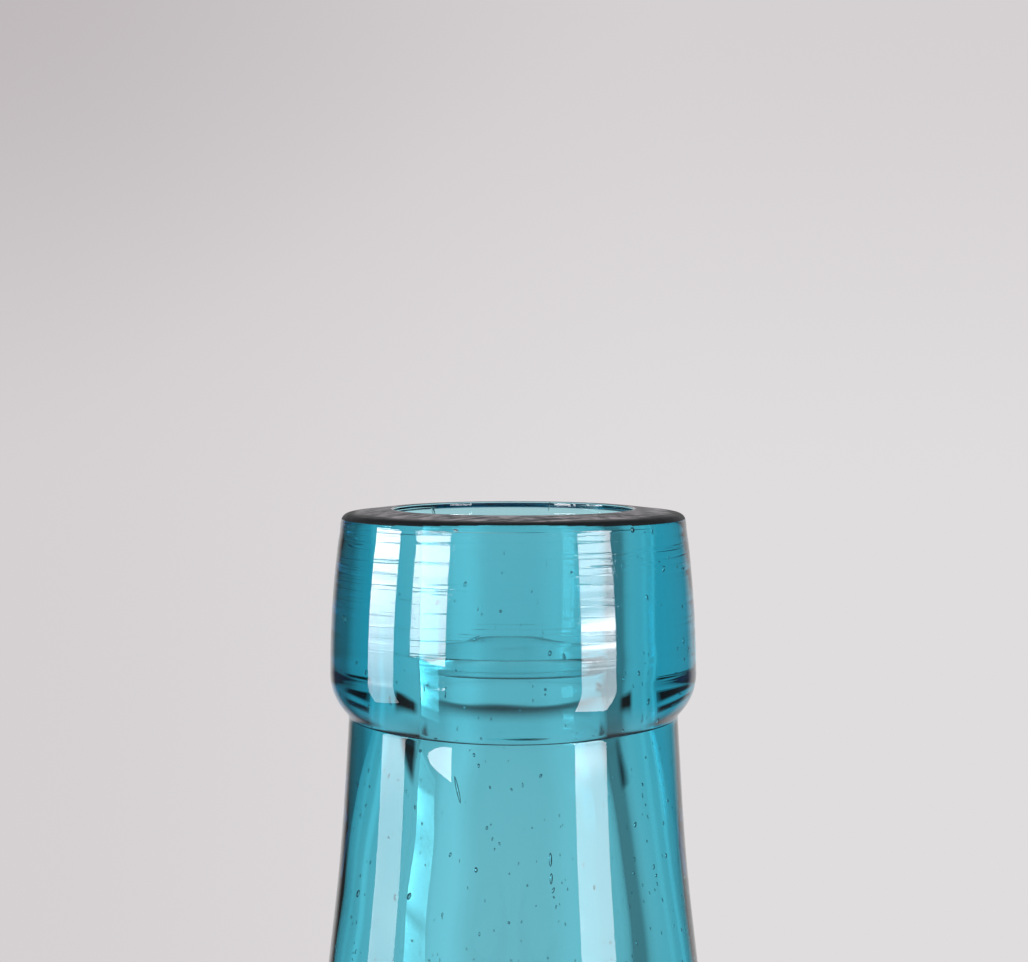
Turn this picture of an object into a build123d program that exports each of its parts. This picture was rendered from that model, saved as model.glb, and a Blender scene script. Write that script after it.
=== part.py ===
from build123d import *
from math import cos, radians, sqrt, tan
import os

# A glass bottle closed by its own marble. The marble lies on a pinched throat inside the neck chamber, and gas
# pressure lifts it against a rubber ring that sits in a groove inside the lip.
# Lengths are in millimetres and angles in degrees. The origin is the middle of the base, and +Z runs up the axis.
# Where two straight stretches of the outline meet in a rounding, a size names the corner that they would make.

# The marble and the room round it
marble_radius = 7.1
neck_clearance = 0.4
chamber_clearance = 4.9
lug_clearance = 0.35
seat_clearance = 0.05

# The rubber ring and its groove
ring_hole_radius = 6.3
ring_width = 1.85
ring_height = 1.5
ring_clearance = 0.05
groove_depth = 11.4

# The lip
bottle_height = 230.0
lip_height = 16.9
lip_wall = 6.8
lip_top_setback_width = 0.95
lip_top_drop_height = 0.42
lip_side_bow_width = 0.22
lip_widest_depth = 13.0
lip_foot_setback_width = 1.25
lip_foot_height = 0.35
lip_foot_bow_width = 0.42
lip_crease_radius = 0.5
rim_edge_radius = 0.5
rim_flat_width = 0.6

# The mouth: a shallow recess, a nearly level ledge and a straight bore down to the groove
mouth_radius = 9.8
mouth_edge_radius = 0.2
mouth_depth = 1.25
mouth_corner_radius = 0.15
ledge_height = 0.15
ledge_round_radius = 0.3
mouth_bore_radius = 7.7

# The neck, whose outside widens in two straight stretches, and whose bore widens in a flare and then a cone
neck_wall = 6.03
neck_bend_depth = 27.0
neck_bend_width = 0.55
neck_bend_radius = 150.0
neck_bore_depth = 17.5
neck_bore_bend_radius = 6.0
flare_depth = 22.5
flare_width = 1.1
flare_bend_radius = 15.0
chamber_wall = 5.4
chamber_round_radius = 9.0
chamber_floor_radius = 5.0
chamber_floor_angle = 50.0

# The two lugs that the front of the chamber is pushed in at
lug_height = 17.5
lug_wall = 4.0
lug_foot_radius = 0.8
lug_angle = 36.0
dent_radius = 6.0
dent_edge_radius = 1.0

# The pinched throat, on whose upper end the marble lies
throat_depth = 64.0
throat_length = 5.0
throat_radius = 4.6
throat_wall = 6.4
throat_top_radius = 2.5
throat_foot_radius = 6.0
waist_round_radius = 6.0

# The body
body_radius = 30.0
body_wall = 4.4
shoulder_angle = 49.0
shoulder_round_radius = 24.0
heel_radius = 7.0
inner_heel_radius = 5.0
base_thickness = 7.0
push_up_height = 3.5
push_up_radius = 17.0

# Sizes that follow from those above
neck_bore_radius = marble_radius + neck_clearance
neck_radius = neck_bore_radius + neck_wall
chamber_bore_radius = marble_radius + chamber_clearance
chamber_radius = chamber_bore_radius + chamber_wall
ring_radius = ring_hole_radius + ring_width
groove_radius = ring_radius + ring_clearance
groove_height = ring_height + ring_clearance
lip_radius = groove_radius + lip_wall
waist_radius = throat_radius + throat_wall
cavity_radius = body_radius - body_wall
lug_tip_radius = marble_radius + lug_clearance

# Heights of the places inside the bottle, from the rim down
groove_top = bottle_height - groove_depth
groove_floor = groove_top - groove_height
throat_top = bottle_height - throat_depth
throat_bottom = throat_top - throat_length
floor_steepness = tan(radians(chamber_floor_angle))
chamber_floor = throat_top + (chamber_bore_radius - throat_radius) * floor_steepness
shoulder_steepness = tan(radians(shoulder_angle))
inner_shoulder = throat_bottom - (cavity_radius - throat_radius) * shoulder_steepness

# The outside keeps the walls' thickness: the corner of a parallel outline lies lower or higher by half the turn
floor_half_turn = radians(90 - chamber_floor_angle) / 2
shoulder_half_turn = radians(90 - shoulder_angle) / 2
chamber_bottom = chamber_floor - chamber_wall * tan(floor_half_turn)
shoulder = inner_shoulder + body_wall * tan(shoulder_half_turn)
waist = shoulder + (body_radius - waist_radius) * shoulder_steepness
neck_top = bottle_height - lip_height
rim_corner = (lip_radius - lip_top_setback_width, bottle_height - lip_top_drop_height)

# The marble lies on the chamber's conical floor, and at the top of its travel meets the edge of the ring's hole
marble_reach = marble_radius + seat_clearance
marble_rest = throat_top - throat_radius * floor_steepness + marble_reach / cos(radians(chamber_floor_angle))
marble_top = groove_floor - sqrt(marble_reach**2 - ring_hole_radius**2)


def path(*corners):
    """Lines through the (out, up, rounding radius) corners, with every corner between them rounded."""
    places = [Vector(out, up) for out, up, _ in corners]
    edges = []
    start = places[0]
    for before, corner, after, (_, _, rounding) in zip(places, places[1:], places[2:], corners[1:]):
        arriving = (corner - before).normalized()
        leaving = (after - corner).normalized()
        cut = rounding * tan(radians(arriving.get_angle(leaving)) / 2)
        edges.append(Edge.make_line(start, corner - arriving * cut))
        start = corner + leaving * cut
        if cut:
            edges.append(Edge.make_tangent_arc(corner - arriving * cut, arriving, start))
    edges.append(Edge.make_line(start, places[-1]))
    return edges


def dome(middle_height, edge_radius, edge_height):
    """An arc from the axis, where it is level, out and down to its edge."""
    return Edge.make_tangent_arc((0, middle_height), Vector(1, 0), (edge_radius, edge_height))


def bowed(start, end, bow):
    """An arc from start to end that stands bow to the right of its chord."""
    start, end = Vector(*start), Vector(*end)
    along = (end - start).normalized()
    middle = (start + end) / 2 + Vector(along.Y, -along.X) * bow
    return Edge.make_three_point_arc(start, middle, end)


def turned(edges):
    """The solid that a closed outline of (radius, height) edges sweeps round the bottle's axis."""
    return revolve(Plane.XZ * Face(Wire(edges)), Axis.Z)


def rounded(solid, corners):
    """The solid with the turned corners nearest to the (radius, height) places rounded."""
    for (out, up), corner_radius in corners:
        rings = solid.edges().filter_by(lambda edge: edge.is_closed)
        solid = fillet(rings.sort_by_distance(Vector(out, 0, up))[0], corner_radius)
    return solid


def outer_solid():
    """The glass filled in: base, heel, body, shoulder, waist, marble chamber, neck and lip."""
    foot = (lip_radius - lip_foot_setback_width, neck_top + lip_foot_height)
    widest = (lip_radius, bottle_height - lip_widest_depth)
    edges = [
        dome(push_up_height, push_up_radius, 0),
        *path(
            (push_up_radius, 0, 0),
            (body_radius, 0, heel_radius),
            (body_radius, shoulder, shoulder_round_radius),
            (waist_radius, waist, waist_round_radius),
            (chamber_radius, chamber_bottom, chamber_round_radius),
            (neck_radius + neck_bend_width, bottle_height - neck_bend_depth, neck_bend_radius),
            (neck_radius, neck_top, 0),
            (*foot, 0),
        ),
        bowed(foot, widest, lip_foot_bow_width),
        bowed(widest, rim_corner, lip_side_bow_width),
        *path(
            (*rim_corner, 0),
            (mouth_radius + rim_flat_width, bottle_height, 0),
            (0, bottle_height, 0),
            (0, push_up_height, 0),
        ),
    ]
    return turned(edges)


def cavity_solid():
    """Everything inside the glass: body, throat, chamber, neck bore, ring groove and mouth."""
    past_rim = bottle_height + lip_height
    mouth_floor = bottle_height - mouth_depth
    edges = [
        dome(base_thickness + push_up_height, push_up_radius, base_thickness),
        *path(
            (push_up_radius, base_thickness, 0),
            (cavity_radius, base_thickness, inner_heel_radius),
            (cavity_radius, inner_shoulder, shoulder_round_radius - body_wall),
            (throat_radius, throat_bottom, throat_foot_radius),
            (throat_radius, throat_top, throat_top_radius),
            (chamber_bore_radius, chamber_floor, chamber_floor_radius),
            (neck_bore_radius + flare_width, bottle_height - flare_depth, flare_bend_radius),
            (neck_bore_radius, bottle_height - neck_bore_depth, neck_bore_bend_radius),
            (neck_bore_radius, groove_floor, 0),
            (groove_radius, groove_floor, 0),
            (groove_radius, groove_top, 0),
            (mouth_bore_radius, groove_top, 0),
            (mouth_bore_radius, mouth_floor - ledge_height, ledge_round_radius),
            (mouth_radius, mouth_floor, mouth_corner_radius),
            (mouth_radius, past_rim, 0),
            (0, past_rim, 0),
            (0, base_thickness + push_up_height, 0),
        ),
    ]
    return turned(edges)


def dimpled(solid, radius, edge_radius):
    """The solid with a ball cut out of its front at each lug, and the dimples' edges rounded."""
    out = lug_tip_radius + dent_radius + lug_wall
    balls = [
        Rot(0, 0, side * lug_angle) * Pos(0, -out, throat_top + lug_height) * Sphere(radius)
        for side in (-1, 1)
    ]
    cut = solid - balls
    return fillet(new_edges(solid, *balls, combined=cut), edge_radius)


def glass_bottle():
    """The bottle: one piece of glass, pinched in at the throat and pushed in at two lugs in the front of its
    chamber, which hold the marble back when the bottle is tipped to pour."""
    outside = dimpled(outer_solid(), dent_radius, dent_edge_radius)
    inside = dimpled(cavity_solid(), dent_radius + lug_wall, lug_foot_radius)
    corners = [
        ((neck_radius, neck_top), lip_crease_radius),
        (rim_corner, rim_edge_radius),
        ((mouth_radius, bottle_height), mouth_edge_radius),
    ]
    return rounded(outside - inside, corners)


def glass_marble():
    """The marble where it rests, on the floor of its chamber."""
    return Pos(0, 0, marble_rest) * Sphere(marble_radius)


def sealing_ring():
    """The flat rubber ring, lying on the lower shoulder of its groove."""
    from_below = (Align.CENTER, Align.CENTER, Align.MIN)
    disc = Cylinder(ring_radius, ring_height, align=from_below)
    hole = Cylinder(ring_hole_radius, ring_height, align=from_below)
    return Pos(0, 0, groove_floor) * (disc - hole)


pieces = {
    "glass_bottle": glass_bottle(),
    "glass_marble": glass_marble(),
    "sealing_ring": sealing_ring(),
}

os.makedirs("parts", exist_ok=True)
for name, shape in pieces.items():
    export_step(shape, f"parts/{name}.step")

print("marble rests at", round(marble_rest, 3), "and rises", round(marble_top - marble_rest, 3))
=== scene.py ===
from math import cos, pi, radians, sin, sqrt, tan

import bmesh
import bpy
import numpy as np
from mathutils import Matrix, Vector


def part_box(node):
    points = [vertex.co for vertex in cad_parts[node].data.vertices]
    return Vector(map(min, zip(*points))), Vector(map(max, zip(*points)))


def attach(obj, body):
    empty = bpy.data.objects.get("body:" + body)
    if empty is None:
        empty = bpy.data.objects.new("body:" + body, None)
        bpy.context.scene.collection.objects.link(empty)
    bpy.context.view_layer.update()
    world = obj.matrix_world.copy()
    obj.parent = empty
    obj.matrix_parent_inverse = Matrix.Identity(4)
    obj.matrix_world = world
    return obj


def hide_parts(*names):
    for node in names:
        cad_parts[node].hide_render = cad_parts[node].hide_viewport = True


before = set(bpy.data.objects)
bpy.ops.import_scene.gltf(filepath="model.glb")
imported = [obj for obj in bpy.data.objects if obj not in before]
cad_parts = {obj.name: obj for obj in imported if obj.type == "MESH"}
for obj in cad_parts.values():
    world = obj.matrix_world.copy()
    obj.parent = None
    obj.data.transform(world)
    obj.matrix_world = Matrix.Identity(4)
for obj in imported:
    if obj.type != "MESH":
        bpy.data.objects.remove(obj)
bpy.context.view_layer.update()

# A glass bottle closed by its own marble, seen close from the front: its lip and upper neck.
# Lengths are in metres. +Z runs up the bottle's axis and -Y is the front. Depths run down from the rim.
mm = 0.001
random = np.random.default_rng(7)

# Sizes from the frame
_, bottle_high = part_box("glass_bottle")
marble_low, marble_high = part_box("glass_marble")
ring_low, ring_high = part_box("sealing_ring")
bottle_height = bottle_high.z
body_radius = bottle_high.x
marble_radius = (marble_high.z - marble_low.z) / 2
marble_centre = (marble_high.z + marble_low.z) / 2
ring_height = ring_high.z - ring_low.z
groove_floor = ring_low.z

# The ring and its groove, which is shallower and softer here than in the CAD model
ring_hole_radius = 6.3 * mm
ring_rounding = 0.55 * mm
ring_side_clearance = 0.05 * mm
ring_end_clearance = 0.01 * mm
groove_radius = 7.80 * mm
groove_height = 1.55 * mm
groove_slope = 0.45 * mm
groove_rounding = 0.30 * mm
groove_foot_depth = 16.0 * mm

# The mouth
mouth_radius = 9.8 * mm
mouth_depth = 1.25 * mm
mouth_corner_rounding = 0.15 * mm
mouth_bore_radius = 7.7 * mm
ledge_drop = 0.15 * mm
ledge_rounding = 0.3 * mm

# The lip, whose foot hangs a little lower in front
lip_radius = 15.0 * mm
lip_height = 16.9 * mm
lip_widest_depth = 13.0 * mm
lip_side_bow = 0.22 * mm
lip_foot_bow = 0.42 * mm
lip_foot_setback = 1.25 * mm
lip_foot_rise = 0.35 * mm
lip_foot_sag = 0.7 * mm
lip_foot_reach = 2.2 * mm
rim_setback = 0.95 * mm
rim_drop = 0.42 * mm
rim_rounding = 0.7 * mm
rim_flat_width = 0.6 * mm

# The neck, whose bore begins to flare a little lower here than in the CAD model, and flares less
neck_radius = 13.53 * mm
neck_bend_width = 0.55 * mm
neck_bend_depth = 27.0 * mm
neck_bend_rounding = 150.0 * mm
neck_bore_radius = 7.5 * mm
neck_bore_depth = 17.8 * mm
neck_bore_rounding = 4.0 * mm
flare_radius = 8.2 * mm
flare_depth = 22.5 * mm
flare_rounding = 15.0 * mm

# The marble's chamber with its two lugs, and the throat under it
chamber_bore_radius = 12.0 * mm
chamber_wall = 5.4 * mm
chamber_rounding = 9.0 * mm
chamber_floor_angle = radians(50.0)
chamber_floor_rounding = 5.0 * mm
lug_rise = 17.5 * mm
lug_turn = radians(36.0)
lug_tip_radius = 7.45 * mm
lug_wall = 4.0 * mm
lug_blend = 1.4 * mm
lug_reach = 12 * mm
far_away = 1000 * mm
dent_radius = 6.0 * mm
dent_blend = 1.2 * mm
throat_depth = 64.0 * mm
throat_length = 5.0 * mm
throat_radius = 4.6 * mm
throat_wall = 6.4 * mm
throat_top_rounding = 2.5 * mm
throat_foot_rounding = 6.0 * mm
waist_rounding = 6.0 * mm

# The body
body_wall = 4.4 * mm
shoulder_angle = radians(49.0)
shoulder_rounding = 24.0 * mm
heel_rounding = 7.0 * mm
inner_heel_rounding = 5.0 * mm
base_thickness = 7.0 * mm
push_up_height = 3.5 * mm
push_up_radius = 17.0 * mm

# Radii and heights that follow from those above
groove_top = groove_floor + groove_height
mouth_floor = bottle_height - mouth_depth
ledge_foot = mouth_floor - ledge_drop
neck_top = bottle_height - lip_height
neck_bend = (neck_radius + neck_bend_width, bottle_height - neck_bend_depth)
lip_widest = (lip_radius, bottle_height - lip_widest_depth)
lip_foot = (lip_radius - lip_foot_setback, neck_top + lip_foot_rise)
rim_corner = (lip_radius - rim_setback, bottle_height - rim_drop)
throat_top = bottle_height - throat_depth
throat_bottom = throat_top - throat_length
chamber_radius = chamber_bore_radius + chamber_wall
chamber_floor = throat_top + (chamber_bore_radius - throat_radius) * tan(chamber_floor_angle)
chamber_bottom = chamber_floor - chamber_wall * tan((pi / 2 - chamber_floor_angle) / 2)
lug_height = throat_top + lug_rise
lug_radius = dent_radius + lug_wall
lug_centre_radius = lug_tip_radius + lug_radius
waist_radius = throat_radius + throat_wall
cavity_radius = body_radius - body_wall
inner_shoulder = throat_bottom - (cavity_radius - throat_radius) * tan(shoulder_angle)
shoulder = inner_shoulder + body_wall * tan((pi / 2 - shoulder_angle) / 2)
waist = shoulder + (body_radius - waist_radius) * tan(shoulder_angle)

# How finely the glass is drawn and turned, and how far its corners melt. The last points of the lip's side
# are left out to make room for the rim's rounding.
around = 288
ring_around = 160
arc_points = 13
bow_points = 25
dome_points = 15
rim_points_left_out = 4
outline_step = 0.05 * mm
melt_reach = 0.12 * mm
lip_spacing = 0.16 * mm
lip_margin = 1 * mm
neck_spacing = 0.5 * mm
body_spacing = 2.6 * mm
bend_spacing = radians(9.0)

# How uneven the walls are: waves of the outside, and of the inside below the lip, which fade out at the axis
outer_wave = 11 * mm
outer_wave_depth = 0.03 * mm
outer_wave_offset = 2.2
outer_wave_count = 14
outer_wave_turns = 3
inner_wave = 7 * mm
inner_wave_depth = 0.045 * mm
inner_wave_count = 18
inner_wave_turns = 4
longest_wave_share = 4
calm_radius = 3 * mm
lip_fade_height = 1 * mm

# The marks of the lip tool, which end a little below the rim
mark_count = 46
mark_rim_margin = 0.6 * mm
mark_groove = 0.016 * mm
mark_top_depth = 1.6 * mm
mark_span = 13.0 * mm
mark_crowding = 1.7
mark_tilt = 0.12 * mm
mark_widths = (0.14 * mm, 0.3 * mm)
mark_strengths = (0.3, 1.0)
mark_fading = 0.6
mark_arc = 0.8
mark_arc_spread = 0.5

# The ground land on the rim, which reaches less far down and out behind the back line
land_inner_radius = 9.95 * mm
land_outer_radius = 14.6 * mm
land_drop = 0.80 * mm
land_front_rise = 0.28 * mm
land_front_focus = 8
land_back = 3.0 * mm
land_back_drop = 0.40 * mm
land_back_radius = 13.5 * mm

# The random bubbles, which keep clear of both walls
bubble_count = 300
bubble_depths = (1.5 * mm, 40 * mm)
bubble_inner_radius = 9.0 * mm
bubble_low_depth = 24 * mm
bubble_low_inner_radius = 10.6 * mm
bubble_outer_radius = 12.4 * mm
bubble_sizes = (0.04 * mm, 0.10 * mm)
bubble_growth = 0.9
bubble_rarity = 6
bubble_longest_share = 2.4
bubble_tilt = 0.5
bubble_rows = 7
bubble_columns = 10

# The bubbles and specks that catch the eye: the middle's place to the right, to the back and down from the
# rim, half width and half length, all in millimetres, and the tilt from upright in radians
placed_bubbles = [
    (-4.15, -11.4, 21.3, 0.12, 1.10, -0.22),
    (2.75, -11.8, 26.7, 0.13, 0.55, 0.0),
    (2.80, -11.8, 28.2, 0.12, 0.45, 0.05),
    (2.95, -11.8, 29.1, 0.10, 0.25, 0.3),
    (-2.75, -11.8, 27.5, 0.14, 0.22, 0.0),
    (-6.9, 7.6, 0.66, 0.16, 0.46, -0.4),
    (3.12, 9.9, 0.45, 0.06, 0.35, 0.25),
    (-4.4, -13.3, 0.95, 0.22, 0.10, 0.3),
    (9.2, -10.2, 1.15, 0.20, 0.22, 0.0),
]

# The marble's scar: its direction, the cosine where it begins, and how deep it and its ripples are
scar = Vector((0.5, -0.4, 0.76)).normalized()
scar_edge = 0.955
scar_depth_share = 0.012
scar_ripple_share = 0.004
scar_ripples = 70
marble_fineness = 6
marble_clearance = 0.005 * mm

# The glass and the rubber: how strongly they refract, the colour of the glass's surface, and the colour and
# density of its inside
glass_index = 1.52
rubber_index = 1.41
glass_colour = (0.93, 0.99, 1.0, 1)
glass_tint = (0.02, 0.79, 0.885, 1)
glass_density = 147.0
marble_tint = (0.05, 0.72, 0.8, 1)
marble_density = 120.0

# The fine level lines on the lip, the scratches of the ground land, and the painted shade along the land's
# outer edge
line_stretch = (70, 70, 3400)
line_top_depth = 3 * mm
line_foot_depth = 15 * mm
line_height = 0.014 * mm
scratch_turn = radians(24)
scratch_stretch = (9, 0.6, 1)
scratch_height = 0.05 * mm
edge_shade_start = 13.2 * mm
edge_shade_end = 13.9 * mm
edge_shade_uneven = 1.5 * mm


def cornered(corners):
    """Points of a line through (out, up, rounding) corners, each corner rounded by an arc."""
    places = [np.array(corner[:2]) for corner in corners]
    points = [places[0]]
    for before, corner, after, (_, _, rounding) in zip(places, places[1:], places[2:], corners[1:]):
        if not rounding:
            points.append(corner)
            continue
        arriving = (corner - before) / np.linalg.norm(corner - before)
        leaving = (after - corner) / np.linalg.norm(after - corner)
        turn = np.arctan2(arriving[0] * leaving[1] - arriving[1] * leaving[0], arriving @ leaving)
        side = np.array([-arriving[1], arriving[0]]) * np.sign(turn)
        centre = corner - arriving * rounding * tan(abs(turn) / 2) + side * rounding
        for angle in np.linspace(0, abs(turn), arc_points):
            points.append(centre + (arriving * sin(angle) - side * cos(angle)) * rounding)
    points.append(places[-1])
    return points


def bowed(start, end, bow):
    """Points of a shallow curve from start to end that stands bow to the right of its chord."""
    start, end = np.array(start), np.array(end)
    along = end - start
    out = np.array([along[1], -along[0]]) / np.linalg.norm(along)
    shares = np.linspace(0, 1, bow_points)
    return [start + along * share + out * bow * 4 * share * (1 - share) for share in shares]


def dome(middle_height, edge_radius, edge_height):
    """Points of a shallow dome from the axis out to its edge."""
    return [
        np.array([edge_radius * share, middle_height + (edge_height - middle_height) * share**2])
        for share in np.linspace(0, 1, dome_points)
    ]


def glass_outline():
    """The glass's section as (radius, height) points: from the base up, over the rim and down inside."""
    outline = dome(push_up_height, push_up_radius, 0)
    outline += cornered([
        (push_up_radius, 0, 0),
        (body_radius, 0, heel_rounding),
        (body_radius, shoulder, shoulder_rounding),
        (waist_radius, waist, waist_rounding),
        (chamber_radius, chamber_bottom, chamber_rounding),
        (*neck_bend, neck_bend_rounding),
        (neck_radius, neck_top, 0),
        (*lip_foot, 0),
    ])
    outline += bowed(lip_foot, lip_widest, lip_foot_bow)
    side = bowed(lip_widest, rim_corner, lip_side_bow)[:-rim_points_left_out]
    outline += side
    outline += cornered([
        (*side[-1], 0),
        (*rim_corner, rim_rounding),
        (mouth_radius + rim_flat_width, bottle_height, 0),
        (mouth_radius, bottle_height, 0),
        (mouth_radius, mouth_floor, mouth_corner_rounding),
        (mouth_bore_radius, ledge_foot, ledge_rounding),
        (mouth_bore_radius, groove_top + groove_slope, groove_rounding),
        (groove_radius, groove_top - groove_slope, groove_rounding),
        (groove_radius, groove_floor + groove_slope, groove_rounding),
        (neck_bore_radius, bottle_height - groove_foot_depth, neck_bore_rounding),
        (neck_bore_radius, bottle_height - neck_bore_depth, neck_bore_rounding),
        (flare_radius, bottle_height - flare_depth, flare_rounding),
        (chamber_bore_radius, chamber_floor, chamber_floor_rounding),
        (throat_radius, throat_top, throat_top_rounding),
        (throat_radius, throat_bottom, throat_foot_rounding),
        (cavity_radius, inner_shoulder, shoulder_rounding - body_wall),
        (cavity_radius, base_thickness, inner_heel_rounding),
        (push_up_radius, base_thickness, 0),
    ])
    outline += dome(base_thickness + push_up_height, push_up_radius, base_thickness)[::-1]
    return np.array(outline)


def lengths_along(points):
    """How far along the line each of its points lies."""
    steps = np.linalg.norm(np.diff(points, axis=0), axis=1)
    return np.concatenate([[0], np.cumsum(steps)])


def points_at(places, points, length):
    """The points at some places along a line, whose own points lie at the given lengths along it."""
    return np.column_stack([np.interp(places, length, points[:, axis]) for axis in (0, 1)])


def evened(points, step):
    """The same line with a point every step, and none twice."""
    length = lengths_along(points)
    return points_at(np.linspace(0, length[-1], int(length[-1] / step)), points, length)


def melted(points, step, reach):
    """The line with its corners softened over about reach, as fire leaves the edges of glass."""
    taps = np.arange(-4 * reach, 4 * reach + step, step)
    weights = np.exp(-((taps / reach) ** 2) / 2)
    weights /= weights.sum()
    margin = len(taps) // 2
    mirrored = np.array([-1, 1])
    padded = np.vstack([points[margin:0:-1] * mirrored, points, points[-2:-margin - 2:-1] * mirrored])
    return np.column_stack([np.convolve(padded[:, axis], weights, "valid") for axis in (0, 1)])


def thinned(points):
    """The line with points only as close as its place and its bends need."""
    length = lengths_along(points)
    heading = np.unwrap(np.arctan2(np.gradient(points[:, 1]), np.gradient(points[:, 0])))
    bend = np.abs(np.gradient(heading, length))
    height = points[:, 1]
    below_lip = np.where(height > throat_bottom, neck_spacing, body_spacing)
    spacing = np.where(height > neck_top - lip_margin, lip_spacing, below_lip)
    density = 1 / spacing + bend / bend_spacing
    count = np.concatenate([[0], np.cumsum(density[1:] * np.diff(length))])
    places = np.interp(np.linspace(0, count[-1], int(count[-1])), count, length)
    return points_at(places, points, length)


def ball_entry(angle, height, radius):
    """How far from the axis a level ray at that angle and height meets the nearer lug's ball."""
    nearest = np.full(angle.shape, far_away)
    for side in (-1, 1):
        turn = angle - (-pi / 2 + side * lug_turn)
        across = lug_centre_radius * np.sin(turn)
        room = radius**2 - (height - lug_height) ** 2 - across**2
        entry = lug_centre_radius * np.cos(turn) - np.sign(room) * np.sqrt(np.abs(room))
        nearest = np.where(np.cos(turn) > 0, np.minimum(nearest, entry), nearest)
    return nearest


def softly_least(first, second, blend):
    """The smaller of two fields, rounded over blend where they meet."""
    share = np.clip(0.5 + 0.5 * (second - first) / blend, 0, 1)
    return second + (first - second) * share - blend * share * (1 - share)


def pressed(out, angle, height, outside):
    """The walls' radii with the two lugs: balls pressed into the chamber from the front."""
    dent = softly_least(ball_entry(angle, height, dent_radius), out, dent_blend)
    lug = softly_least(ball_entry(angle, height, lug_radius), out, lug_blend)
    near_lug = np.abs(height - lug_height) < lug_reach
    return np.where(near_lug, np.minimum(np.where(outside, dent, lug), out), out)


def waviness(angle, height, finest, count, turns):
    """A smooth random field of about unit size, from waves no shorter than finest along the axis."""
    field = np.zeros_like(angle)
    for _ in range(count):
        wave = 2 * pi / (finest * random.uniform(1, longest_wave_share))
        turn = random.integers(0, turns + 1)
        phase = random.uniform(0, 2 * pi)
        field += np.cos(wave * height + turn * angle + phase)
    return field / sqrt(count)


def tooling(angle, height):
    """The rings that the lip tool left, each a shallow groove over part of the turn, deeper near the rim."""
    field = np.zeros_like(angle)
    for _ in range(mark_count):
        share = random.uniform(0, 1) ** mark_crowding
        mark_height = bottle_height - mark_top_depth - share * mark_span
        tilt = random.uniform(-mark_tilt, mark_tilt)
        middle = random.uniform(-pi, pi)
        width = random.uniform(*mark_widths)
        strength = random.uniform(*mark_strengths) * (1 - mark_fading * share)
        arc = np.cos(angle - middle) * mark_arc + random.uniform(0, mark_arc_spread)
        offset = height - mark_height - tilt * np.sin(angle - middle)
        field += strength * np.clip(arc, 0, 1) ** 2 * np.exp(-((offset / width) ** 2))
    return field


def uneven(out, angle, height, outside):
    """The walls' radii with long waves, inside only below the lip, and with the tool's marks on the lip."""
    over_foot = np.clip((height - neck_top) / lip_fade_height, 0, 1)
    under_rim = np.clip((bottle_height - mark_rim_margin - height) / lip_fade_height, 0, 1)
    on_lip = over_foot * under_rim
    outer = waviness(angle, height, outer_wave, outer_wave_count, outer_wave_turns)
    inner = waviness(angle, height, inner_wave, inner_wave_count, inner_wave_turns)
    marks = tooling(angle, height)
    outer_hollows = outer_wave_depth * (outer + outer_wave_offset).clip(0)
    inner_hollows = inner_wave_depth * inner * (1 - on_lip)
    waves = np.where(outside, outer_hollows, inner_hollows) * np.clip(out / calm_radius, 0, 1)
    return out - waves - np.where(outside, mark_groove * marks * on_lip, 0)


def sagged(height, angle, outside):
    """The walls' heights with the lip's foot hanging a little lower in front."""
    near_foot = np.exp(-(((height - neck_top) / lip_foot_reach) ** 2)) * outside
    return height - lip_foot_sag * near_foot * np.clip(-np.sin(angle), 0, 1) ** 2


def turned_grid(section, count):
    """The angle, radius and height of a section's points in count places round the axis."""
    angle, out = np.meshgrid(np.linspace(-pi, pi, count, endpoint=False), section[:, 0])
    return angle, out, np.repeat(section[:, 1][:, None], count, axis=1)


def turned_points(angle, out, height):
    """The points of a turned grid as a list, row by row."""
    return np.stack([out * np.cos(angle), out * np.sin(angle), height], axis=-1).reshape(-1, 3).tolist()


def numbered(rows, columns):
    """The numbers of a turned grid's points, and of the points beside them."""
    first = np.arange(rows * columns).reshape(rows, columns)
    return first, np.roll(first, -1, axis=1)


def quads(*corners):
    """Four-sided faces as a list, from grids of their corners' numbers."""
    return np.stack(corners, axis=-1).reshape(-1, 4).tolist()


def on_land(points, corners):
    """Whether a face lies on the ground land of the rim."""
    across, back, up = np.mean([points[corner] for corner in corners], axis=0)
    out = np.hypot(across, back)
    if back > land_back:
        drop, outer = land_back_drop, land_back_radius
    else:
        facing = max(-back / out, 0) ** land_front_focus if out else 0
        drop, outer = land_drop - land_front_rise * facing, land_outer_radius
    return up > bottle_height - drop and land_inner_radius < out < outer


def bubbles():
    """The gas bubbles in the lip and the neck, each with its centre, half width, half length and tilt."""
    found = []
    for _ in range(bubble_count):
        depth = random.uniform(*bubble_depths)
        turn = random.uniform(-pi, pi)
        inner = bubble_inner_radius if depth < bubble_low_depth else bubble_low_inner_radius
        out = random.uniform(inner, bubble_outer_radius)
        across = random.uniform(*bubble_sizes) * (1 + bubble_growth * random.uniform(0, 1) ** bubble_rarity)
        along = across * random.uniform(1, bubble_longest_share)
        centre = (out * cos(turn), out * sin(turn), bottle_height - depth)
        found.append((centre, across, along, random.uniform(-bubble_tilt, bubble_tilt)))
    for side, back, depth, across, along, tilt in placed_bubbles:
        centre = (side * mm, back * mm, bottle_height - depth * mm)
        found.append((centre, across * mm, along * mm, tilt))
    return found


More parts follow.
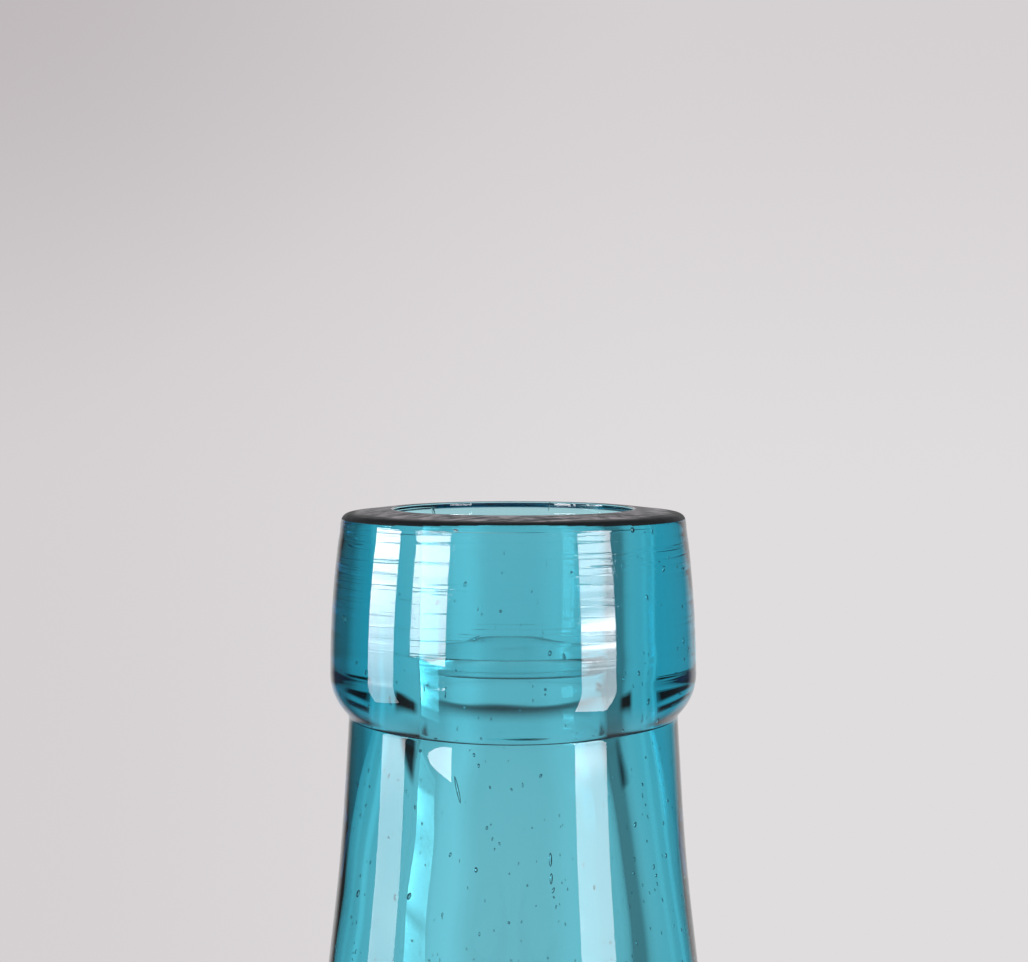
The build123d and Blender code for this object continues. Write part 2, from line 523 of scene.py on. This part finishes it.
def add_bubble(points, faces, centre, across, along, tilt):
    """A closed bubble wall whose faces look into the bubble, away from the glass."""
    start = len(points)
    for row in range(1, bubble_rows):
        polar = pi * row / bubble_rows
        for column in range(bubble_columns):
            turn = 2 * pi * column / bubble_columns
            out, up = across * sin(polar), along * cos(polar)
            points.append((
                centre[0] + out * cos(turn) * cos(tilt) + up * sin(tilt),
                centre[1] + out * sin(turn),
                centre[2] - out * cos(turn) * sin(tilt) + up * cos(tilt),
            ))
    top, bottom = len(points), len(points) + 1
    points.append((centre[0] + along * sin(tilt), centre[1], centre[2] + along * cos(tilt)))
    points.append((centre[0] - along * sin(tilt), centre[1], centre[2] - along * cos(tilt)))
    last = start + (bubble_rows - 2) * bubble_columns
    for column in range(bubble_columns):
        beside = (column + 1) % bubble_columns
        faces.append((top, start + beside, start + column))
        faces.append((bottom, last + column, last + beside))
        for here in range(start, last, bubble_columns):
            below = here + bubble_columns
            faces.append((here + column, here + beside, below + beside, below + column))


def glass_mesh():
    """The bottle's glass, turned from its section, with its lugs, uneven walls, ground land and bubbles."""
    outline = melted(evened(glass_outline(), outline_step), outline_step, melt_reach)
    section = thinned(outline)[1:-1]
    angle, out, height = turned_grid(section, around)
    crest = np.argmax(section[:, 1])
    outside = np.repeat((np.arange(len(section)) <= crest)[:, None], around, axis=1)
    out = uneven(pressed(out, angle, height, outside), angle, height, outside)
    points = turned_points(angle, out, sagged(height, angle, outside))

    first, beside = numbered(len(section), around)
    faces = quads(first[:-1], beside[:-1], beside[1:], first[1:])
    low_pole, high_pole = len(points), len(points) + 1
    points += [(0, 0, push_up_height), (0, 0, base_thickness + push_up_height)]
    faces += [(low_pole, b, a) for a, b in zip(first[0].tolist(), beside[0].tolist())]
    faces += [(high_pole, a, b) for a, b in zip(first[-1].tolist(), beside[-1].tolist())]
    land = [face for face, corners in enumerate(faces) if on_land(points, corners)]
    for bubble in bubbles():
        add_bubble(points, faces, *bubble)

    mesh = bpy.data.meshes.new("bottle_glass")
    mesh.from_pydata(points, [], faces)
    for face in land:
        mesh.polygons[face].material_index = 1
    mesh.validate()
    mesh.shade_smooth()
    return mesh


def ring_section():
    """The rubber ring's section: a rectangle with worn corners."""
    low = groove_floor + ring_end_clearance
    high = groove_floor + ring_height - ring_end_clearance
    near, far = ring_hole_radius, groove_radius - ring_side_clearance
    middle = ((near + far) / 2, low, 0)
    corners = [(far, low), (far, high), (near, high), (near, low)]
    return np.array(cornered([middle, *((*corner, ring_rounding) for corner in corners), middle]))[:-1]


def ring_mesh():
    """The rubber ring, turned from its closed section."""
    section = ring_section()
    points = turned_points(*turned_grid(section, ring_around))
    first, beside = numbered(len(section), ring_around)
    faces = quads(first, beside, np.roll(beside, -1, axis=0), np.roll(first, -1, axis=0))
    mesh = bpy.data.meshes.new("rubber_ring")
    mesh.from_pydata(points, [], faces)
    mesh.shade_smooth()
    return mesh


def marble_mesh():
    """The marble, with the small flat scar where it was cut from the cane."""
    mesh = bpy.data.meshes.new("marble")
    shell = bmesh.new()
    bmesh.ops.create_icosphere(shell, subdivisions=marble_fineness, radius=marble_radius - marble_clearance)
    for vertex in shell.verts:
        facing = vertex.co.normalized().dot(scar)
        if facing > scar_edge:
            depth = (facing - scar_edge) / (1 - scar_edge)
            ripple = scar_ripple_share * sin(scar_ripples * facing)
            vertex.co *= 1 + (ripple - scar_depth_share) * depth
        vertex.co.z += marble_centre
    shell.to_mesh(mesh)
    shell.free()
    mesh.shade_smooth()
    return mesh


def placed(name, mesh, *materials):
    """A new object in the scene from a mesh and its materials."""
    piece = bpy.data.objects.new(name, mesh)
    bpy.context.scene.collection.objects.link(piece)
    for material in materials:
        mesh.materials.append(material)
    return piece


def wire(tree, made, **inputs):
    """Sets a node's inputs to values or other nodes' outputs. _1 is the second input, A_B the input A B."""
    for name, value in inputs.items():
        socket = made.inputs[int(name[1:]) if name[1:].isdigit() else name.replace("_", " ")]
        if isinstance(value, bpy.types.NodeSocket):
            tree.links.new(value, socket)
        else:
            socket.default_value = value


def node(tree, kind, settings=None, **inputs):
    """A new shader node with its settings and its inputs."""
    made = tree.nodes.new(kind)
    for name, value in (settings or {}).items():
        setattr(made, name, value)
    wire(tree, made, **inputs)
    return made


def object_place(tree):
    """Where on its object each point lies, in metres."""
    return node(tree, "ShaderNodeTexCoord").outputs["Object"]


def noise(tree, place, scale, detail):
    """Soft random values, scale waves to the metre, with finer ones added by detail."""
    return node(tree, "ShaderNodeTexNoise", Vector=place, Scale=scale, Detail=detail).outputs["Fac"]


def maths(tree, operation, first, second):
    """The result of an operation on two numbers."""
    return node(tree, "ShaderNodeMath", {"operation": operation}, _0=first, _1=second).outputs[0]


def length_of(tree, vector):
    """A vector's length."""
    return node(tree, "ShaderNodeVectorMath", {"operation": "LENGTH"}, _0=vector).outputs["Value"]


def scaled(tree, vector, factors):
    """A vector with each part multiplied by its factor."""
    return node(tree, "ShaderNodeVectorMath", {"operation": "MULTIPLY"}, _0=vector, _1=factors).outputs[0]


def ranged(tree, value, start, end, low=0.0, high=1.0, smooth=False):
    """A number that goes from low to high as value goes from start to end, eased at both ends if smooth."""
    settings = {"interpolation_type": "SMOOTHSTEP" if smooth else "LINEAR"}
    limits = {"From_Min": start, "From_Max": end, "To_Min": low, "To_Max": high}
    return node(tree, "ShaderNodeMapRange", settings, Value=value, **limits).outputs[0]


def ramped(tree, share, stops):
    """A colour that changes with share through (place, colour) stops, where a plain number is a grey."""
    ramp = node(tree, "ShaderNodeValToRGB", Fac=share)
    elements = ramp.color_ramp.elements
    elements.remove(elements[-1])
    for index, (place, colour) in enumerate(stops):
        element = elements[0] if index == 0 else elements.new(place)
        element.position = place
        element.color = (*colour, 1) if isinstance(colour, tuple) else (colour, colour, colour, 1)
    return ramp.outputs["Color"]


def blended(tree, share, first, second):
    """A colour that changes from the first to the second with share."""
    return node(tree, "ShaderNodeMix", {"data_type": "RGBA"}, _0=share, _6=first, _7=second).outputs[2]


def background(tree, colour):
    """A background of one strength that shows a colour."""
    return node(tree, "ShaderNodeBackground", Color=colour, Strength=1.0).outputs[0]


def mixed_shader(tree, share, first, second):
    """A shader that changes from the first to the second with share."""
    return node(tree, "ShaderNodeMixShader", _0=share, _1=first, _2=second).outputs[0]


def new_material(name):
    """A new material with its node tree, its shader and its output."""
    material = bpy.data.materials.new(name)
    material.use_nodes = True
    tree = material.node_tree
    return material, tree, tree.nodes["Principled BSDF"], tree.nodes["Material Output"]


def absorb(tree, output, colour, density):
    """Lets the material's volume take light away on the way through, down to its own colour."""
    volume = node(tree, "ShaderNodeVolumeAbsorption", Color=colour, Density=density)
    wire(tree, output, Volume=volume.outputs[0])


def aqua_glass():
    """The bottle's glass, with a light haze in patches and fine level lines on the lip."""
    material, tree, shader, output = new_material("aqua_glass")
    place = object_place(tree)
    height = node(tree, "ShaderNodeSeparateXYZ", Vector=place).outputs["Z"]
    lines = ranged(tree, noise(tree, scaled(tree, place, line_stretch), 1.0, 2.0), 0.56, 0.70, smooth=True)
    foot, top = bottle_height - line_foot_depth, bottle_height - line_top_depth
    on_lip = ranged(tree, height, foot, top, smooth=True)
    bump = node(tree, "ShaderNodeBump", Height=lines, Strength=on_lip, Distance=line_height)
    haze = ranged(tree, noise(tree, place, 140.0, 4.0), 0.45, 0.8, high=0.05)
    wire(tree, shader, Transmission_Weight=1.0, IOR=glass_index, Base_Color=glass_colour)
    wire(tree, shader, Roughness=haze, Normal=bump.outputs["Normal"])
    absorb(tree, output, glass_tint, glass_density)
    return material


def ground_glass():
    """The matt land on the rim, ground flat and then scratched and pitted by use, with painted shade along
    its outer edge.
    """
    material, tree, shader, output = new_material("ground_glass")
    place = object_place(tree)
    turned = {"Rotation": (0, 0, scratch_turn), "Scale": scratch_stretch}
    stretched = node(tree, "ShaderNodeMapping", {"vector_type": "TEXTURE"}, Vector=place, **turned)
    mottle = noise(tree, place, 900.0, 5.0)
    rough = maths(tree, "ADD", noise(tree, stretched.outputs[0], 1500.0, 4.0), mottle)
    greys = [(0, (0.07, 0.07, 0.08)), (1, (0.72, 0.66, 0.69))]
    scratched = ramped(tree, ranged(tree, rough, 0.86, 1.16), greys)
    pits = node(tree, "ShaderNodeTexVoronoi", Vector=place, Scale=650.0).outputs["Distance"]
    clear_of_pits = ranged(tree, pits, 0.08, 0.22, smooth=True)
    pitted = blended(tree, clear_of_pits, (0.03, 0.04, 0.045, 1), scratched)
    # Painted shade: a near-black band, a little uneven, from about this radius out to the land's outer edge,
    # where the rounded rim corner is dark
    out = length_of(tree, scaled(tree, place, (1, 1, 0)))
    worn = maths(tree, "ADD", out, maths(tree, "MULTIPLY", noise(tree, place, 260.0, 3.0), edge_shade_uneven))
    edge = ranged(tree, worn, edge_shade_start, edge_shade_end, smooth=True)
    colour = blended(tree, edge, pitted, (0.006, 0.012, 0.016, 1))
    bump = node(tree, "ShaderNodeBump", Height=rough, Strength=0.4, Distance=scratch_height)
    wire(tree, shader, Transmission_Weight=0.5, Specular_IOR_Level=0.3, IOR=glass_index, Base_Color=colour)
    wire(tree, shader, Roughness=ranged(tree, mottle, 0, 1, 0.3, 0.6), Normal=bump.outputs["Normal"])
    absorb(tree, output, glass_tint, glass_density)
    return material


def marble_glass():
    """The marble's glass, a little paler than the bottle's and worn in patches."""
    material, tree, shader, output = new_material("marble_glass")
    wear = ranged(tree, noise(tree, object_place(tree), 420.0, 5.0), 0.5, 0.75, high=0.25)
    wire(tree, shader, Transmission_Weight=1.0, IOR=glass_index, Base_Color=glass_colour, Roughness=wear)
    absorb(tree, output, marble_tint, marble_density)
    return material


def clear_rubber():
    """The ring's clear rubber, a little cloudy."""
    material, tree, shader, _ = new_material("clear_rubber")
    mottle = noise(tree, object_place(tree), 700.0, 6.0)
    cloudy = ramped(tree, mottle, [(0, (0.86, 0.93, 0.93)), (1, (0.94, 0.97, 0.97))])
    rough = ranged(tree, mottle, 0, 1, 0.05, 0.3)
    wire(tree, shader, Transmission_Weight=1.0, IOR=rubber_index, Base_Color=cloudy, Roughness=rough)
    return material


glass = placed("bottle_glass", glass_mesh(), aqua_glass(), ground_glass())
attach(glass, "bottle")
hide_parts("glass_bottle")

marble = placed("marble", marble_mesh(), marble_glass())
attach(marble, "marble")
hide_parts("glass_marble")

ring = placed("rubber_ring", ring_mesh(), clear_rubber())
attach(ring, "bottle")
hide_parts("sealing_ring")

# The floor, from the middle to its sides, and where it fades out
floor_reach = 0.5
floor_fade_start = 0.12
floor_fade_end = 0.5

# The studio round the bottle, by azimuth from the camera's side, left negative, and by height over the
# horizon, both in degrees: the brightness that is seen through the glass and the one that its outside
# reflects, their tint, where the backdrop ends at the top, and the brightness above it
through_stops = [
    (-180, 0.70), (-174, 0.72), (-169, 0.92), (-163, 0.88), (-158, 0.70), (-128, 0.70), (-104, 0.72),
    (-98, 0.35), (-40, 0.35), (60, 0.35), (98, 0.26), (124, 0.28), (131, 0.56), (140, 0.68), (160, 0.70),
    (165, 0.80), (170, 0.80), (175, 0.70), (180, 0.70),
]
reflected_stops = [
    (-180, 0.70), (-160, 0.60), (-150, 0.06), (-100, 0.04), (-60, 0.30), (0, 0.45), (64, 0.25), (100, 0.06),
    (142, 0.08), (152, 0.60), (180, 0.70),
]
backdrop_tint = (1, 0.985, 0.99)
backdrop_top = (12, 26)
through_above = 0.01
reflected_above = 0.10

# The dark gap beside the backdrop: how much of it shows by azimuth and by height
gap_azimuths = [(-144, 0), (-138, 1), (-112, 1), (-104, 0), (120, 0), (126, 1), (138, 1), (144, 0)]
gap_heights = [(5, 0), (7, 1), (10, 1), (13, 0)]

# The backdrop as the camera sees it, which dims to the left and upward
seen_leftward = (0.07, -0.20)
seen_upward = (-0.06, 0.13)
seen_stops = [(0, (0.745, 0.722, 0.735)), (0.5, (0.665, 0.635, 0.648)), (1, (0.52, 0.485, 0.50))]
plain_colour = (0.85, 0.84, 0.85, 1)
lamp_colour = (1.0, 0.97, 1.0, 1)

# The lamps: azimuth, distance, width, low and high end, lean, and radiances as (height, radiance) stops
left_softbox = (-88.5, 0.271, 0.106, (0.100, 0.268), 0, [
    (0.150, 3.4), (0.183, 4.2), (0.200, 6.9), (0.218, 10.2), (0.235, 13.8), (0.257, 20),
])
front_softbox = (-53.0, 0.300, 0.128, (0.2015, 0.286), -2.5, [
    (0.2015, 10), (0.222, 11), (0.240, 12.5), (0.255, 15),
])
right_softbox = (53.3, 0.313, 0.130, (0.020, 0.286), 0, [
    (0.060, 9), (0.120, 9), (0.150, 7), (0.196, 6.7), (0.201, 9.2), (0.212, 14), (0.222, 27), (0.229, 14),
    (0.235, 6.5), (0.245, 8), (0.260, 11),
])
left_glow = (-88.5, 0.275, 0.106, (0.045, 0.268), 0, [
    (0.120, 0.5), (0.150, 4.0), (0.180, 6.0), (0.190, 2.0), (0.203, 8.0), (0.235, 7.0), (0.245, 2.0),
])

# The camera, a little above the rim and close to the lip
camera_focal_length = 98.8
camera_nearest = 10 * mm
camera_shift = 0.06 * mm
camera_distance = 230 * mm
camera_rise = 13.3 * mm
camera_dip = radians(2.76)


def floor_material():
    """Pale matt floor that fades out into the backdrop's colour away from the bottle."""
    material, tree, shader, output = new_material("pale_floor")
    wire(tree, shader, Base_Color=(0.62, 0.60, 0.61, 1), Roughness=0.9)
    distance = length_of(tree, object_place(tree))
    fade = ranged(tree, distance, floor_fade_start, floor_fade_end, smooth=True)
    clear = node(tree, "ShaderNodeBsdfTransparent").outputs[0]
    wire(tree, output, Surface=mixed_shader(tree, fade, shader.outputs[0], clear))
    return material


def panel(name, across, up, material):
    """A flat rectangle round the origin, which reaches across to both sides and up both ways."""
    mesh = bpy.data.meshes.new(name)
    corners = [(-across, -up, 0), (across, -up, 0), (across, up, 0), (-across, up, 0)]
    mesh.from_pydata(corners, [], [(0, 1, 2, 3)])
    return placed(name, mesh, material)


def floor():
    """The floor that the bottle stands on."""
    piece = panel("floor", floor_reach, floor_reach, floor_material())


def turned_share(degrees):
    """Where an azimuth lies on the way round from behind the bottle, from 0 to 1."""
    return (degrees + 180) / 360


def surroundings(tree, azimuth, ceiling, stops, above):
    """A background that changes with the azimuth, and has the brightness above it where ceiling is 1."""
    colours = [
        (turned_share(degrees), tuple(brightness * part for part in backdrop_tint))
        for degrees, brightness in stops
    ]
    shaded = blended(tree, ceiling, ramped(tree, azimuth, colours), (above, above, above, 1))
    return background(tree, shaded)


def gap_share(tree, azimuth, up):
    """How much the dark gap beside the backdrop shows."""
    beside = ramped(tree, azimuth, [(turned_share(degrees), amount) for degrees, amount in gap_azimuths])
    band = ramped(tree, up, [(sin(radians(degrees)), amount) for degrees, amount in gap_heights])
    return maths(tree, "MULTIPLY", beside, band)


def seen_background(tree, right, up):
    """The backdrop as the camera sees it."""
    leftward = ranged(tree, right, *seen_leftward, smooth=True)
    upward = ranged(tree, up, *seen_upward, smooth=True)
    share = maths(tree, "MULTIPLY", maths(tree, "ADD", leftward, upward), 0.5)
    return background(tree, ramped(tree, share, seen_stops))


def backdrop():
    """The studio round the bottle: pale where the camera sees it, and darker in parts for the glass."""
    world = bpy.data.worlds.new("studio")
    world.use_nodes = True
    bpy.context.scene.world = world
    tree = world.node_tree
    tree.nodes.clear()
    direction = node(tree, "ShaderNodeTexCoord").outputs["Generated"]
    right, back, up = node(tree, "ShaderNodeSeparateXYZ", Vector=direction).outputs
    turn = maths(tree, "ARCTAN2", right, maths(tree, "MULTIPLY", back, -1.0))
    azimuth = ranged(tree, turn, -pi, pi)
    low_top, high_top = (sin(radians(degrees)) for degrees in backdrop_top)
    ceiling = ranged(tree, up, low_top, high_top, smooth=True)
    gap = maths(tree, "MAXIMUM", gap_share(tree, azimuth, up), ceiling)

    seen = seen_background(tree, right, up)
    reflected = surroundings(tree, azimuth, ceiling, reflected_stops, reflected_above)
    through = surroundings(tree, azimuth, gap, through_stops, through_above)
    rays = node(tree, "ShaderNodeLightPath").outputs
    shown = background(tree, plain_colour)
    shown = mixed_shader(tree, rays["Is Camera Ray"], shown, seen)
    shown = mixed_shader(tree, rays["Is Glossy Ray"], shown, reflected)
    shown = mixed_shader(tree, rays["Is Transmission Ray"], shown, through)
    node(tree, "ShaderNodeOutputWorld", Surface=shown)


def graded(tree, share, heights, stops):
    """A radiance that changes on the way up a light from low to high, through (height, radiance) stops."""
    low, high = heights
    brightest = max(radiance for _, radiance in stops)
    greys = [((height - low) / (high - low), radiance / brightest) for height, radiance in stops]
    return maths(tree, "MULTIPLY", ramped(tree, share, greys), brightest)


def stood(piece, azimuth, distance, heights, lean):
    """Turns a lamp or panel to face the bottle's axis between two heights, and leans it sideways."""
    turn, middle = radians(azimuth), sum(heights) / 2
    piece.location = (distance * sin(turn), -distance * cos(turn), middle)
    facing = Vector((0, 0, middle)) - piece.location
    piece.rotation_euler = facing.to_track_quat("-Z", "Y").to_euler()
    piece.rotation_euler.rotate_axis("Z", radians(lean))
    piece.visible_camera = False
    piece.visible_diffuse = False


def softbox(name, azimuth, distance, width, heights, lean, stops):
    """A tall light that only the outside of the glass reflects."""
    low, high = heights
    light = bpy.data.lights.new(name, "AREA")
    light.shape = "RECTANGLE"
    light.size = width
    light.size_y = high - low
    # This energy gives a radiance of 1, which the stops multiply
    light.energy = pi * width * (high - low)
    light.use_nodes = True
    tree = light.node_tree
    place = node(tree, "ShaderNodeNewGeometry").outputs["Parametric"]
    share = node(tree, "ShaderNodeSeparateXYZ", Vector=place).outputs["Y"]
    wire(tree, tree.nodes["Emission"], Color=lamp_colour, Strength=graded(tree, share, heights, stops))
    lamp = bpy.data.objects.new(name, light)
    bpy.context.scene.collection.objects.link(lamp)
    stood(lamp, azimuth, distance, heights, lean)
    lamp.visible_transmission = False


def glow(name, azimuth, distance, width, heights, lean, stops):
    """A tall panel that is seen through glass only, where the glass gathers a light's soft halo."""
    low, high = heights
    material = bpy.data.materials.new(name)
    material.use_nodes = True
    tree = material.node_tree
    tree.nodes.clear()
    place = node(tree, "ShaderNodeTexCoord").outputs["Generated"]
    share = node(tree, "ShaderNodeSeparateXYZ", Vector=place).outputs["Y"]
    shine = node(tree, "ShaderNodeEmission", Strength=graded(tree, share, heights, stops)).outputs[0]
    clear = node(tree, "ShaderNodeBsdfTransparent").outputs[0]
    through_glass = node(tree, "ShaderNodeLightPath").outputs["Is Transmission Ray"]
    node(tree, "ShaderNodeOutputMaterial", Surface=mixed_shader(tree, through_glass, clear, shine))
    material.cycles.emission_sampling = "NONE"
    piece = panel(name, width / 2, (high - low) / 2, material)
    stood(piece, azimuth, distance, heights, lean)
    piece.visible_shadow = False


def camera():
    """The camera at the photograph's place."""
    data = bpy.data.cameras.new("camera")
    data.lens = camera_focal_length
    data.clip_start = camera_nearest
    piece = bpy.data.objects.new("camera", data)
    bpy.context.scene.collection.objects.link(piece)
    piece.location = (camera_shift, -camera_distance, bottle_height + camera_rise)
    piece.rotation_euler = (pi / 2 - camera_dip, 0, 0)
    bpy.context.scene.camera = piece


floor()
backdrop()
softbox("left_softbox", *left_softbox)
softbox("front_softbox", *front_softbox)
softbox("right_softbox", *right_softbox)
glow("left_glow", *left_glow)
camera()
bpy.context.scene.view_settings.view_transform = "Standard"
